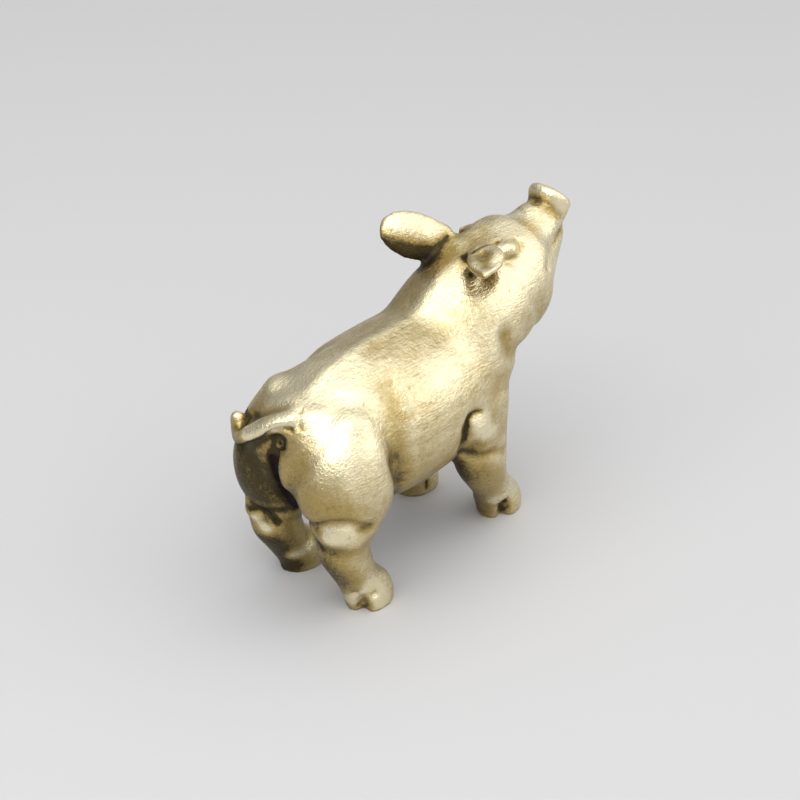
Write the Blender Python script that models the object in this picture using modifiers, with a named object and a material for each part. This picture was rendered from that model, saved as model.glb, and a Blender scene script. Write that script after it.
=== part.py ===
"""Tea pet: a small solid brass casting of a standing pig that holds its head up and curls its tail.

The pig faces -Y, its left side is +X and it stands on Z = 0, with the origin under the middle of its box.
Every mass of the body is a loft of oval sections. The masses are fused into one skin, the hollows between
them are filled as wax is under a thumb, and folds, eyes, mouth and hooves are then cut into that skin.
"""

import math

import bmesh
import bpy
import numpy as np
from mathutils import Matrix, Vector

MM = 0.001

# Torso, from the rump to the breast.
TORSO_LENGTH = 30.4 * MM
TORSO_WIDTH = 17.8 * MM
TORSO_DEPTH = 17.4 * MM
BELLY_CLEARANCE = 9.5 * MM
TORSO_RISE = math.radians(3)

# Neck, from the middle of the shoulders to the nape.
NECK_LENGTH = 8.4 * MM
NECK_WIDTH = 13.8 * MM
NECK_DEPTH = 13.4 * MM
NECK_PITCH = math.radians(38)

# Head, from the nape to the snout's disc.
HEAD_LENGTH = 13.6 * MM
HEAD_WIDTH = 12.0 * MM
HEAD_DEPTH = 12.2 * MM
HEAD_PITCH = math.radians(34)
DISC_WIDTH = 5.2 * MM
DISC_THICKNESS = 1.0 * MM

# Ears, each a cupped leaf.
EAR_WIDTH = 5.5 * MM
EAR_THICKNESS = 1.6 * MM

# Hind legs. A hoof's place is measured from the middle of the torso. The left ham is
# slimmer and its hock lower and further ahead; the knob of the right hock is lifted.
HIP_BACK = 10.7 * MM
HIP_HEIGHT = 20.0 * MM
HIP_SPACING = 9.0 * MM
HAM_WIDTH = 9.4 * MM
HAM_DEPTH = 11.4 * MM
LEFT_HAM_SHARE = 0.91
HOCK_HEIGHT = 8.4 * MM
HOCK_SETBACK = 3.7 * MM
HOCK_SHIFT = 0.3 * MM
HOCK_DROP = 1.4 * MM
KNOB_LIFT = 2.5 * MM
HOCK_WIDTH = 5.2 * MM
HIND_HOOF_BACK = 8.7 * MM
HIND_STANCE = 10.3 * MM

# Forelegs: the right one steps ahead, the left one trails.
SHOULDER_AHEAD = 7.5 * MM
SHOULDER_HEIGHT = 18.0 * MM
SHOULDER_SPACING = 10.6 * MM
FORELEG_WIDTH = 5.4 * MM
ELBOW_BOW = 2.1 * MM
FORE_HOOF_AHEAD = 13.7 * MM
FORE_TRAIL = 3.2 * MM
FORE_STANCE = 9.7 * MM
FORE_SHIFT = 1.2 * MM

# Hooves.
PASTERN_WIDTH = 4.5 * MM
HOOF_LENGTH = 5.7 * MM
HOOF_WIDTH = 4.8 * MM
HOOF_HEIGHT = 2.6 * MM

# Tail, which lies to the left over the ham and ends in a curled tip.
TAIL_THICKNESS = 2.4 * MM

# Small features.
EAR_HOLLOW = 0.9 * MM
NOSTRIL_SPACING = 2.0 * MM
NOSTRIL_WIDTH = 1.1 * MM
NOSTRIL_DEPTH = 0.7 * MM
CLEFT_WIDTH = 1.2 * MM
CLEFT_DEPTH = 1.1 * MM
HIND_CLEFT_TURN = math.radians(30)
FORE_CLEFT_TURN = math.radians(58)

# Skin and mesh. Fill rounds smooth the fused masses, settle rounds only soften the marks carved in them.
SKIN_STEP = 0.28 * MM
STROKE_STEP = 0.3 * MM
FILL_STEPS = 50
SETTLE_STEPS = 4
SMOOTHING_SHARE = 0.6
RIDGE_SHARE = 0.12
TRIANGLE_COUNT = 11600
RING_POINTS = 32
DOME_STEPS = (25, 50, 72)
ROWS_BETWEEN = 3

# Metal.
BRASS_COLOUR = (0.66, 0.56, 0.31, 1.0)
BRASS_ROUGHNESS = 0.34

# How far the rounded ends of each loft reach, as a share of the last section's half width.
TORSO_DOME_SHARE = 0.5
NECK_DOME_SHARE = 0.6
HEAD_DOME_SHARE = 0.3
DISC_DOME_SHARE = 0.16
EAR_DOME_SHARE = 0.6
THIGH_DOME_SHARE = 0.6
LEG_DOME_SHARE = 0.7
TAIL_DOME_SHARE = 0.9


def at(ahead, aside, up):
    """A point by its distance in front of the torso's middle, to the pig's left, and above the floor."""
    return Vector((aside, -ahead, up))


def clear_scene():
    for item in list(bpy.data.objects):
        bpy.data.objects.remove(item)


def collection(name):
    made = bpy.data.collections.new(name)
    bpy.context.scene.collection.children.link(made)
    return made


def section_matrix(centre, along, across, wide, deep):
    """Turns a unit circle into the oval section whose plane faces along."""
    along = along.normalized()
    across = (across - across.dot(along) * along).normalized()
    third = along.cross(across)
    turn = Matrix((across, third, along)).transposed().to_4x4()
    return Matrix.Translation(centre) @ turn @ Matrix.Diagonal((wide, deep, 1, 1))


def eased(rows):
    """Rows of numbers with more rows between them, on the smooth curve that passes through them all."""
    rows = np.array(rows)
    ends = np.vstack([2 * rows[0] - rows[1], rows, 2 * rows[-1] - rows[-2]])
    made = [rows[0]]
    for before, start, end, after in zip(ends, ends[1:], ends[2:], ends[3:]):
        for t in np.linspace(0, 1, ROWS_BETWEEN + 2)[1:]:
            slope_in = (end - before) / 2
            slope_out = (after - start) / 2
            made.append(
                (2 * t**3 - 3 * t**2 + 1) * start
                + (t**3 - 2 * t**2 + t) * slope_in
                + (3 * t**2 - 2 * t**3) * end
                + (t**3 - t**2) * slope_out
            )
    return np.array(made)


def loft(shell, sections, dome, across=Vector((1, 0, 0))):
    """Adds to the bmesh a closed form through sections of (centre, width, depth), with domed ends."""
    rows = eased([(*centre, wide, deep) for centre, wide, deep in sections])
    centres = [Vector(row[:3]) for row in rows]
    halves = [(row[3] / 2, row[4] / 2) for row in rows]
    rings = []
    last = len(rows) - 1
    for i, (centre, (wide, deep)) in enumerate(zip(centres, halves)):
        along = (centres[min(i + 1, last)] - centres[max(i - 1, 0)]).normalized()
        end = {0: -1, last: 1}.get(i)
        if end is None:
            rings.append(section_matrix(centre, along, across, wide, deep))
            continue
        reach = dome * min(wide, deep)
        domes = [section_matrix(centre, along, across, wide, deep)]
        for angle in map(math.radians, DOME_STEPS):
            out = centre + end * along * reach * math.sin(angle)
            share = math.cos(angle)
            domes.append(section_matrix(out, along, across, wide * share, deep * share))
        rings.extend(domes if end > 0 else reversed(domes))
    loops = []
    for matrix in rings:
        made = bmesh.ops.create_circle(shell, segments=RING_POINTS, radius=1, matrix=matrix)
        loops.append(made["verts"])
    for low, high in zip(loops, loops[1:]):
        for i in range(RING_POINTS):
            j = (i + 1) % RING_POINTS
            shell.faces.new((low[i], low[j], high[j], high[i]))
    shell.faces.new(reversed(loops[0]))
    shell.faces.new(loops[-1])


TORSO_SECTIONS = (
    # share along, share of width, share of depth, rise of the middle as a share of depth
    (0.04, 0.60, 0.58, 0.12),
    (0.14, 0.82, 0.82, 0.06),
    (0.28, 0.96, 0.96, 0.01),
    (0.45, 1.00, 1.00, 0.00),
    (0.62, 0.98, 0.98, 0.01),
    (0.78, 0.86, 0.90, 0.04),
    (0.91, 0.60, 0.68, 0.09),
)


def torso_point(share, rise=0.0):
    """The middle of the torso at a share of its length, raised by a share of its depth."""
    ahead = (share - 0.5) * TORSO_LENGTH
    middle = BELLY_CLEARANCE + TORSO_DEPTH / 2
    return at(ahead, 0, middle + ahead * math.tan(TORSO_RISE) + rise * TORSO_DEPTH)


def torso(shell):
    sections = [
        (torso_point(share, rise), wide * TORSO_WIDTH, deep * TORSO_DEPTH)
        for share, wide, deep, rise in TORSO_SECTIONS
    ]
    loft(shell, sections, TORSO_DOME_SHARE)


NECK_START = (0.76, 0.10)
NECK_SECTIONS = (
    # share along, rise of the middle as a share of depth, share of width, share of depth
    (0.0, 0.03, 1.12, 1.16),
    (0.5, 0.08, 1.05, 1.04),
    (1.0, 0.03, 0.98, 0.96),
)


def neck_point(share, rise=0.0):
    """The middle of the neck at a share of its length, raised by a share of its depth."""
    start = torso_point(*NECK_START)
    reach = share * NECK_LENGTH
    lift = rise * NECK_DEPTH
    return start + at(reach * math.cos(NECK_PITCH), 0, reach * math.sin(NECK_PITCH) + lift)


def neck(shell):
    sections = [
        (neck_point(share, rise), wide * NECK_WIDTH, deep * NECK_DEPTH)
        for share, rise, wide, deep in NECK_SECTIONS
    ]
    loft(shell, sections, NECK_DOME_SHARE)


HEAD_START_SHARE = 0.95


def on_head(along, aside=0.0, up=0.0):
    """A point of the head, by shares of its length along the nose and of its half width and half depth."""
    forward = Vector((0, -math.cos(HEAD_PITCH), math.sin(HEAD_PITCH)))
    upward = Vector((0, math.sin(HEAD_PITCH), math.cos(HEAD_PITCH)))
    left = Vector((aside * HEAD_WIDTH / 2, 0, 0))
    return neck_point(HEAD_START_SHARE) + forward * along * HEAD_LENGTH + left + upward * up * HEAD_DEPTH / 2


HEAD_SECTIONS = (
    # share along, rise of the middle as a share of half the depth, share of width, share of depth
    (0.08, -0.10, 1.02, 1.12),
    (0.25, -0.06, 1.03, 1.06),
    (0.40, -0.05, 0.94, 0.92),
    (0.51, -0.11, 0.80, 0.78),
    (0.63, -0.15, 0.63, 0.62),
    (0.75, -0.12, 0.51, 0.56),
    (0.88, -0.05, 0.40, 0.44),
    (0.96, 0.03, 0.34, 0.36),
)


def head(shell):
    sections = [
        (on_head(along, 0, rise), wide * HEAD_WIDTH, deep * HEAD_DEPTH)
        for along, rise, wide, deep in HEAD_SECTIONS
    ]
    loft(shell, sections, HEAD_DOME_SHARE)
    back, out = disc_seat()
    disc = [
        (back + out * share * DISC_THICKNESS, wide * DISC_WIDTH, deep * DISC_WIDTH)
        for share, wide, deep in DISC_SECTIONS
    ]
    loft(shell, disc, DISC_DOME_SHARE)


DISC_BACK = (0.95, 0.0, 0.07)
DISC_TILT = math.radians(13)
DISC_SECTIONS = (
    # share of thickness, share of width across, share of width up and down
    (0.0, 0.96, 0.92),
    (1.0, 1.00, 0.95),
)


def disc_seat():
    """The middle of the back of the snout's disc and the way the disc faces."""
    pitch = HEAD_PITCH + DISC_TILT
    return on_head(*DISC_BACK), at(math.cos(pitch), 0, math.sin(pitch))


EARS = (
    # root and tip on the head (along, aside, up), how far the leaf's width leans ahead, to the left and up,
    # and its share of the ear width
    ((0.12, 0.56, 0.93), (-0.14, 1.35, 1.88), (0.80, 0.00, 0.60), 1.0),
    ((0.13, -0.38, 1.19), (-0.145, -1.08, 1.58), (0.75, -0.62, 0.10), 0.82),
)
LEAF_SECTIONS = (
    # share along, share of width, share of thickness
    (0.00, 0.74, 1.10),
    (0.25, 0.92, 1.00),
    (0.52, 1.00, 0.95),
    (0.78, 0.80, 0.80),
    (0.92, 0.50, 0.65),
)


def ears(shell):
    for root, tip, lean, breadth in EARS:
        start = on_head(*root)
        reach = on_head(*tip) - start
        sections = [
            (start + reach * share, breadth * wide * EAR_WIDTH, thick * EAR_THICKNESS)
            for share, wide, thick in LEAF_SECTIONS
        ]
        loft(shell, sections, EAR_DOME_SHARE, across=at(*lean))


THIGH_SECTIONS = (
    # share of the way from the hock up to the hip, share of ham width, share of ham depth
    (1.20, 0.56, 0.50),
    (0.98, 0.84, 0.84),
    (0.70, 1.00, 1.00),
    (0.47, 0.94, 0.92),
    (0.25, 0.76, 0.68),
    (0.10, 0.60, 0.52),
)
HOCK_SECTIONS = (
    # share of the way from the hock up to the hip, share of hock width, share of hock depth
    (0.06, 1.00, 1.02),
    (0.00, 1.00, 1.06),
)
PASTERN_SECTIONS = (
    # share of the way from the hock down to the hoof, share of pastern width, share of pastern depth
    (0.30, 1.04, 1.08),
    (0.54, 0.96, 1.00),
)
FOOT_SECTIONS = (
    # share of hoof length ahead, share of hoof height up, share of hoof width, share of hoof length deep
    (-0.16, 1.0, 0.95, 0.90),
    (0.00, 0.4, 1.00, 1.00),
    (0.00, -0.3, 0.92, 0.94),
)


def hind_hoof(side):
    return at(-HIND_HOOF_BACK, side * HIND_STANCE / 2, 0)


def fore_hoof(side):
    trail = FORE_TRAIL if side > 0 else 0.0
    return at(FORE_HOOF_AHEAD - trail, side * FORE_STANCE / 2 + FORE_SHIFT, 0)


def hip_point(side):
    return at(-HIP_BACK, side * HIP_SPACING / 2, HIP_HEIGHT)


def hock_point(side):
    hock = hind_hoof(side) + at(-HOCK_SETBACK, 0, HOCK_HEIGHT)
    return hock + at(HOCK_SHIFT, 0, -HOCK_DROP) if side > 0 else hock


def hind_legs(shell):
    for side in (-1, 1):
        hoof = hind_hoof(side)
        hock = hock_point(side)
        hip = hip_point(side)
        ham_width = HAM_WIDTH * LEFT_HAM_SHARE if side > 0 else HAM_WIDTH
        thigh = [
            (hock.lerp(hip, share), wide * ham_width, deep * HAM_DEPTH)
            for share, wide, deep in THIGH_SECTIONS
        ]
        loft(shell, thigh, THIGH_DOME_SHARE)
        shank = [
            (hock.lerp(hip, share), wide * HOCK_WIDTH, deep * HOCK_WIDTH)
            for share, wide, deep in HOCK_SECTIONS
        ]
        shank += [
            (hock.lerp(hoof, share), wide * PASTERN_WIDTH, deep * PASTERN_WIDTH)
            for share, wide, deep in PASTERN_SECTIONS
        ]
        loft(shell, shank + foot(hoof), LEG_DOME_SHARE)


def foot(hoof):
    """Sections from the top of the hoof down through the floor, where the sole is later cut flat."""
    return [
        (hoof + at(ahead * HOOF_LENGTH, 0, up * HOOF_HEIGHT), wide * HOOF_WIDTH, deep * HOOF_LENGTH)
        for ahead, up, wide, deep in FOOT_SECTIONS
    ]


FORELEG_SECTIONS = (
    # share of the way from the shoulder down to the hoof, share of the bow, share of width, share of depth
    (0.00, 0.0, 1.16, 1.50),
    (0.26, 0.7, 1.02, 1.30),
    (0.43, 1.0, 0.96, 1.20),
    (0.61, 0.8, 0.84, 0.90),
    (0.74, 0.4, 0.80, 0.82),
)
ELBOW_SHARE = 0.43
BOW_OUTWARD_SHARE = 0.5


def foreleg_point(side, share, bow):
    """The middle of a foreleg at a share of its length, bowed back and outward by a share of the bow."""
    shoulder = at(SHOULDER_AHEAD, side * SHOULDER_SPACING / 2, SHOULDER_HEIGHT)
    bowed = bow * ELBOW_BOW
    return shoulder.lerp(fore_hoof(side), share) + at(-bowed, side * BOW_OUTWARD_SHARE * bowed, 0)


def fore_legs(shell):
    for side in (-1, 1):
        sections = [
            (foreleg_point(side, share, bow), wide * FORELEG_WIDTH, deep * FORELEG_WIDTH)
            for share, bow, wide, deep in FORELEG_SECTIONS
        ]
        loft(shell, sections + foot(fore_hoof(side)), LEG_DOME_SHARE)


TAIL_ROUTE = (
    # ahead, to the left and up from the middle of the rump, as shares of the torso width, then share of
    # thickness
    (0.15, -0.15, 0.31, 1.00),
    (0.05, -0.055, 0.30, 1.00),
    (-0.035, 0.05, 0.26, 0.98),
    (-0.075, 0.15, 0.185, 0.94),
    (-0.08, 0.24, 0.12, 0.86),
    (-0.05, 0.315, 0.095, 0.76),
    (-0.03, 0.35, 0.135, 0.68),
    (-0.035, 0.35, 0.195, 0.64),
)
TAIL_ACROSS = at(-1, 0, 0.4)


def tail(shell):
    rump = torso_point(0.0)
    sections = []
    for ahead, aside, up, share in TAIL_ROUTE:
        point = rump + at(ahead, aside, up) * TORSO_WIDTH
        sections.append((point, share * TAIL_THICKNESS, share * TAIL_THICKNESS))
    loft(shell, sections, TAIL_DOME_SHARE, across=TAIL_ACROSS)


def masses():
    """All the lofts in one mesh, each a closed form that runs into its neighbours."""
    shell = bmesh.new()
    for make in (torso, neck, head, ears, hind_legs, fore_legs, tail):
        make(shell)
    mesh = bpy.data.meshes.new("masses")
    shell.to_mesh(mesh)
    shell.free()
    return mesh


def evaluated(holder):
    """The object's mesh with its modifiers worked in; the modifiers are then removed."""
    graph = bpy.context.evaluated_depsgraph_get()
    mesh = bpy.data.meshes.new_from_object(holder.evaluated_get(graph))
    holder.modifiers.clear()
    holder.data = mesh
    return mesh


def fuse(holder):
    skin = holder.modifiers.new("one skin", "REMESH")
    skin.mode = "VOXEL"
    skin.voxel_size = SKIN_STEP
    return evaluated(holder)


class Wax:
    """A closed mesh whose points are pushed and smoothed as a modeller works wax."""

    def __init__(self, mesh):
        self.mesh = mesh
        count = len(mesh.vertices)
        flat = np.empty(count * 3)
        mesh.vertices.foreach_get("co", flat)
        self.points = flat.reshape(-1, 3)
        ends = np.empty(len(mesh.edges) * 2, np.int32)
        mesh.edges.foreach_get("vertices", ends)
        self.ends = ends.reshape(-1, 2)
        self.degree = np.bincount(ends, minlength=count)[:, None]

    def write(self):
        self.mesh.vertices.foreach_set("co", self.points.ravel())
        self.mesh.update()

    def normals(self):
        self.write()
        flat = np.empty(len(self.points) * 3)
        self.mesh.vertex_normals.foreach_get("vector", flat)
        return flat.reshape(-1, 3)

    def drift(self):
        """How far each point lies from the average of its neighbours."""
        total = np.zeros_like(self.points)
        for a, b in ((0, 1), (1, 0)):
            for axis in range(3):
                total[:, axis] += np.bincount(
                    self.ends[:, a], self.points[self.ends[:, b], axis], len(self.points)
                )
        return total / self.degree - self.points

    def fill(self, rounds):
        """Smooths hollows fully and ridges by a share, so that masses run together with a fillet."""
        for _ in range(rounds):
            normals = self.normals()
            drift = self.drift()
            outward = (drift * normals).sum(1, keepdims=True)
            share = np.where(outward > 0, 1.0, RIDGE_SHARE)
            self.points += SMOOTHING_SHARE * share * drift

    def on_skin(self, guide):
        """The guide line in short steps, each step moved to the nearest point of the skin."""
        guide = [np.array(p, float) for p in guide]
        stops = [guide[0]]
        for start, end in zip(guide, guide[1:]):
            steps = max(1, round(np.linalg.norm(end - start) / STROKE_STEP))
            stops.extend(start + (end - start) * i / steps for i in range(1, steps + 1))
        nearest = [np.argmin(((self.points - stop) ** 2).sum(1)) for stop in stops]
        return self.points[nearest]

    def push(self, path, radius, height):
        """Raises the skin near a line of points, or lowers it where height is negative."""
        gap = distance_to_path(self.points, path)
        weight = np.exp(-((gap / radius) ** 2))
        self.points += height * weight[:, None] * self.normals()

    def stroke(self, guide, radius, height):
        """A push that follows the skin under the guide line."""
        self.push(self.on_skin(guide), radius, height)


def distance_to_path(points, path):
    best = np.full(len(points), np.inf)
    for stop in path:
        best = np.minimum(best, ((points - np.array(stop)) ** 2).sum(1))
    return np.sqrt(best)


BELLY_CREASE = ((0.27, 0.32, -0.18), (0.34, 0.25, -0.44))
HAM_STROKES = (
    # radius, height, then points ahead, outward and up from the hip, all as shares of the ham depth:
    # crease between the ham and the belly, then its lower end once more
    (0.11, -0.045, ((0.42, 0.05, 0.40), (0.37, 0.17, 0.30), (0.30, 0.25, 0.10), *BELLY_CREASE)),
    (0.09, -0.035, (*BELLY_CREASE, (0.40, 0.15, -0.68))),
)
HOCK_STROKES = (
    # from the knob of the hock, as shares of the hock width: crease above it outward and inward, then
    # the knob itself
    (0.12, -0.10, ((-0.66, 0.05, 0.38), (-0.65, 0.30, 0.56), (-0.50, 0.47, 0.61), (0.08, 0.50, 0.35))),
    (0.12, -0.08, ((-0.66, 0.05, 0.38), (-0.54, -0.26, 0.35), (-0.24, -0.50, 0.30))),
    (0.19, 0.09, ((-0.56, 0.17, 0.10), (-0.37, 0.35, 0.06), (-0.15, 0.42, 0.02))),
)
DEWCLAW_STROKES = (
    # from the hind hoof, as shares of its length: the two pits above its heel
    (0.09, -0.08, ((-0.58, 0.23, 0.54),)),
    (0.09, -0.07, ((-0.25, 0.39, 0.44),)),
)
ELBOW_CREASE = ((-0.93, 0.54, 1.52), (-1.06, 0.54, 1.41), (-0.98, 0.41, 1.11), (-1.00, 0.33, 0.91))
ELBOW_STROKES = (
    # from the elbow, as shares of the foreleg width: its round, then the crease above and behind it
    # first wide and then sharp, then the fold below
    (0.28, 0.11, ((-0.54, 0.54, 1.06), (-0.43, 0.54, 0.89))),
    (0.15, -0.09, ((-0.74, 0.48, 1.46), *ELBOW_CREASE)),
    (0.09, -0.09, (*ELBOW_CREASE, (-0.85, -0.06, 0.30))),
    (0.13, -0.045, ((-0.85, 0.26, 0.56), (-0.50, 0.35, 0.37), (-0.22, 0.50, 0.37), (0.15, 0.39, 0.26))),
)
THROAT_STROKES = (
    # from the end of the neck, as shares of its depth: fold of the throat, fainter towards the middle
    (0.07, -0.035, ((-0.34, 0.54, -0.06), (-0.33, 0.55, -0.18), (-0.16, 0.51, -0.27))),
    (0.07, -0.035, ((-0.08, 0.47, -0.31), (0.07, 0.25, -0.44))),
    (0.07, -0.02, ((0.07, 0.25, -0.44), (0.10, 0.0, -0.47))),
)
HAM_GROOVE = ((-0.03, 0.03, 0.08), (0.0, 0.03, -0.08), (0.07, 0.03, -0.24))
RUMP_STROKES = (
    # from the middle of the rump, as shares of the torso width: groove between the hams, first wide and
    # then sharp, then the hollow under the tail
    (0.055, -0.05, HAM_GROOVE),
    (0.03, -0.05, HAM_GROOVE),
    (0.06, -0.04, ((-0.05, -0.01, 0.17),)),
    # crease above the tail, then the one under it
    (0.03, -0.02, ((0.04, 0.04, 0.36), (0.01, 0.10, 0.33), (-0.01, 0.20, 0.26), (0.02, 0.28, 0.20))),
    (0.025, -0.025, ((-0.02, -0.02, 0.22), (-0.08, 0.08, 0.16), (-0.11, 0.18, 0.08), (-0.09, 0.29, 0.02))),
)
BACK_STROKES = (
    # from the middle of the back, as shares of the torso length: ridge of the spine
    (0.03, 0.008, ((-0.39, 0.0, -0.01), (-0.13, 0.0, 0.01), (0.16, 0.0, 0.04), (0.33, 0.0, 0.13))),
)
HEAD_STROKES = (
    # radius and height as shares of the head width, then points on the head as on_head takes them:
    # brow, eye, lid
    (0.12, 0.035, ((0.14, 0.34, 1.00), (0.25, 0.42, 0.96), (0.36, 0.48, 0.88))),
    (0.06, 0.07, ((0.30, 0.55, 0.84),)),
    (0.035, -0.035, ((0.20, 0.60, 0.86), (0.24, 0.68, 0.72), (0.33, 0.70, 0.66), (0.41, 0.60, 0.68))),
    # mouth, from under the disc to its corner, then the cheek behind the corner
    (0.035, -0.035, ((0.93, 0.00, -0.36), (0.88, 0.34, -0.27), (0.78, 0.47, -0.16), (0.64, 0.62, 0.00))),
    (0.035, -0.035, ((0.64, 0.62, 0.00), (0.54, 0.74, 0.12), (0.42, 0.90, 0.10))),
    # wrinkle behind the disc
    (0.035, -0.03, ((0.87, 0.00, 0.42), (0.87, 0.18, 0.36), (0.86, 0.34, 0.15), (0.87, 0.38, -0.04))),
)


def carve_from(wax, origin, side, unit, strokes):
    """Strokes told from a place on the body in shares of a size there, mirrored to one side of it."""
    for radius, height, guide in strokes:
        path = [origin + at(ahead, side * outward, up) * unit for ahead, outward, up in guide]
        wax.stroke(path, radius * unit, height * unit)


def carve_head(wax, side):
    for radius, height, guide in HEAD_STROKES:
        path = [on_head(along, side * outward, up) for along, outward, up in guide]
        wax.stroke(path, radius * HEAD_WIDTH, height * HEAD_WIDTH)
    back, out = disc_seat()
    nostril = back + out * DISC_THICKNESS + Vector((side * NOSTRIL_SPACING / 2, 0, 0))
    wax.stroke([nostril], NOSTRIL_WIDTH / 2, -NOSTRIL_DEPTH)


def carve(wax):
    """Creases, folds and small features, pushed into the fused skin."""
    for side in (-1, 1):
        knob = hock_point(side) + at(0, 0, HOCK_DROP if side > 0 else KNOB_LIFT)
        elbow = foreleg_point(side, ELBOW_SHARE, 1)
        carve_from(wax, hip_point(side), side, HAM_DEPTH, HAM_STROKES)
        carve_from(wax, knob, side, HOCK_WIDTH, HOCK_STROKES)
        carve_from(wax, elbow, side, FORELEG_WIDTH, ELBOW_STROKES)
        carve_from(wax, neck_point(1), side, NECK_DEPTH, THROAT_STROKES)
        carve_from(wax, hind_hoof(side), side, HOOF_LENGTH, DEWCLAW_STROKES)
        carve_head(wax, side)
        carve_cleft(wax, hind_hoof(side), side, HIND_CLEFT_TURN)
        carve_cleft(wax, fore_hoof(side), side, FORE_CLEFT_TURN)
    carve_from(wax, torso_point(0), 1, TORSO_WIDTH, RUMP_STROKES)
    carve_from(wax, torso_point(0.5, 0.5), 1, TORSO_LENGTH, BACK_STROKES)
    for root, tip, lean, breadth in EARS:
        hollow_ear(wax, on_head(*root), on_head(*tip), at(*lean), breadth * EAR_WIDTH)


CLEFT_RISE_SHARE = 0.75


def carve_cleft(wax, hoof, side, turn):
    """Splits a hoof in front and behind; the cleft behind is turned outward."""
    behind = Matrix.Rotation(-side * turn, 3, "Z") @ at(-1, 0, 0)
    for way in (at(1, 0, 0), behind):
        foot_of_cleft = hoof + way * HOOF_LENGTH / 2
        guide = [foot_of_cleft, foot_of_cleft + at(0, 0, CLEFT_RISE_SHARE * HOOF_HEIGHT)]
        wax.stroke(guide, CLEFT_WIDTH / 2, -CLEFT_DEPTH)


HOLLOW_SHARES = (0.25, 0.40, 0.55, 0.70)
HOLLOW_BREADTH_SHARE = 0.3


def hollow_ear(wax, root, tip, lean, breadth):
    """Presses the front of the leaf in, so that its rim stands up around a hollow."""
    face = (tip - root).cross(lean).normalized()
    if face.z > 0:
        face = -face
    guide = [root.lerp(tip, share) + face * EAR_THICKNESS for share in HOLLOW_SHARES]
    wax.push(guide, HOLLOW_BREADTH_SHARE * breadth, -EAR_HOLLOW)


def reduce(holder):
    """Fewer, larger triangles where the skin is gently curved."""
    mesh = holder.data
    mesh.calc_loop_triangles()
    fewer = holder.modifiers.new("fewer triangles", "DECIMATE")
    fewer.ratio = TRIANGLE_COUNT / len(mesh.loop_triangles)
    return evaluated(holder)


def flatten_soles(mesh):
    """Cuts the hooves off level at the floor and closes them."""
    work = bmesh.new()
    work.from_mesh(mesh)
    cut = bmesh.ops.bisect_plane(
        work,
        geom=work.verts[:] + work.edges[:] + work.faces[:],
        plane_co=(0, 0, 0),
        plane_no=(0, 0, 1),
        clear_inner=True,
    )
    rim = [item for item in cut["geom_cut"] if isinstance(item, bmesh.types.BMEdge)]
    bmesh.ops.holes_fill(work, edges=rim)
    bmesh.ops.triangulate(work, faces=work.faces[:])
    work.to_mesh(mesh)
    work.free()


def centre_over_origin(pig):
    points = np.array([v.co for v in pig.data.vertices])
    middle = (points.min(0) + points.max(0)) / 2
    pig.location = (-middle[0], -middle[1], 0)


def brass():
    material = bpy.data.materials.new("aged brass")
    material.use_nodes = True
    shader = material.node_tree.nodes["Principled BSDF"]
    shader.inputs["Base Color"].default_value = BRASS_COLOUR
    shader.inputs["Metallic"].default_value = 1.0
    shader.inputs["Roughness"].default_value = BRASS_ROUGHNESS
    return material


def build():
    clear_scene()
    home = collection("tea_pet")
    pig = bpy.data.objects.new("pig", masses())
    home.objects.link(pig)
    wax = Wax(fuse(pig))
    wax.fill(FILL_STEPS)
    carve(wax)
    wax.fill(SETTLE_STEPS)
    wax.write()
    mesh = reduce(pig)
    flatten_soles(mesh)
    centre_over_origin(pig)
    mesh.materials.clear()
    mesh.materials.append(brass())
    mesh.shade_smooth()
    return pig


build()
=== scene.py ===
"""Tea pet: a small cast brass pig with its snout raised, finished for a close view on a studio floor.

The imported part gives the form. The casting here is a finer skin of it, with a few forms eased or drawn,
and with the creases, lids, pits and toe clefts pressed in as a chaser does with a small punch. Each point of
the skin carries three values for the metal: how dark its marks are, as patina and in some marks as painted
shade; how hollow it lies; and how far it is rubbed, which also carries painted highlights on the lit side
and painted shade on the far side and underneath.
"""

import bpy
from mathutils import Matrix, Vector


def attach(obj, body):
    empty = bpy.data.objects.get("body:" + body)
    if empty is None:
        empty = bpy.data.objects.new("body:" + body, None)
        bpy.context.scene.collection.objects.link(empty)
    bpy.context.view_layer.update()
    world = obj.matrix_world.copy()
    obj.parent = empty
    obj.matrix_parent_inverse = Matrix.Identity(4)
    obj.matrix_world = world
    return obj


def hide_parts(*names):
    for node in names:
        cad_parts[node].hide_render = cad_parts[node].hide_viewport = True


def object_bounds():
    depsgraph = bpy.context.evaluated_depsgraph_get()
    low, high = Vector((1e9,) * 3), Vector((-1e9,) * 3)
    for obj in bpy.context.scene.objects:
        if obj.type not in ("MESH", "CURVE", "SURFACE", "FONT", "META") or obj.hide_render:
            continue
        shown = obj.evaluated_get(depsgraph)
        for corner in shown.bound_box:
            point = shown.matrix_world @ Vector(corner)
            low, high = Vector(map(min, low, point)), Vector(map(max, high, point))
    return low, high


bl_info = {
    "name": "Tea Pet Pig",
    "version": (1, 0, 0),
    "blender": (4, 5, 0),
    "location": "View3D > Sidebar > Tea Pet",
    "description": "Finishes a small cast brass pig and sets it on a studio floor",
    "category": "Object",
}

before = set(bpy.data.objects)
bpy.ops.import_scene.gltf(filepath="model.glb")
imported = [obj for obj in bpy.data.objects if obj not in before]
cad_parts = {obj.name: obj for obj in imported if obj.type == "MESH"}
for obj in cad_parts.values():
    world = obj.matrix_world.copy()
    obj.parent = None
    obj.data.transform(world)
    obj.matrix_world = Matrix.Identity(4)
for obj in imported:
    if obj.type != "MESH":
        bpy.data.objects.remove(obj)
CAD_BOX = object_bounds()

import math

import bmesh
import bpy
import numpy as np
from bpy.props import FloatProperty, FloatVectorProperty, IntProperty, PointerProperty
from mathutils import Matrix, Vector
from mathutils.bvhtree import BVHTree
from mathutils.kdtree import KDTree

MM = 0.001
TOUCHING = 0.001 * MM


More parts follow.
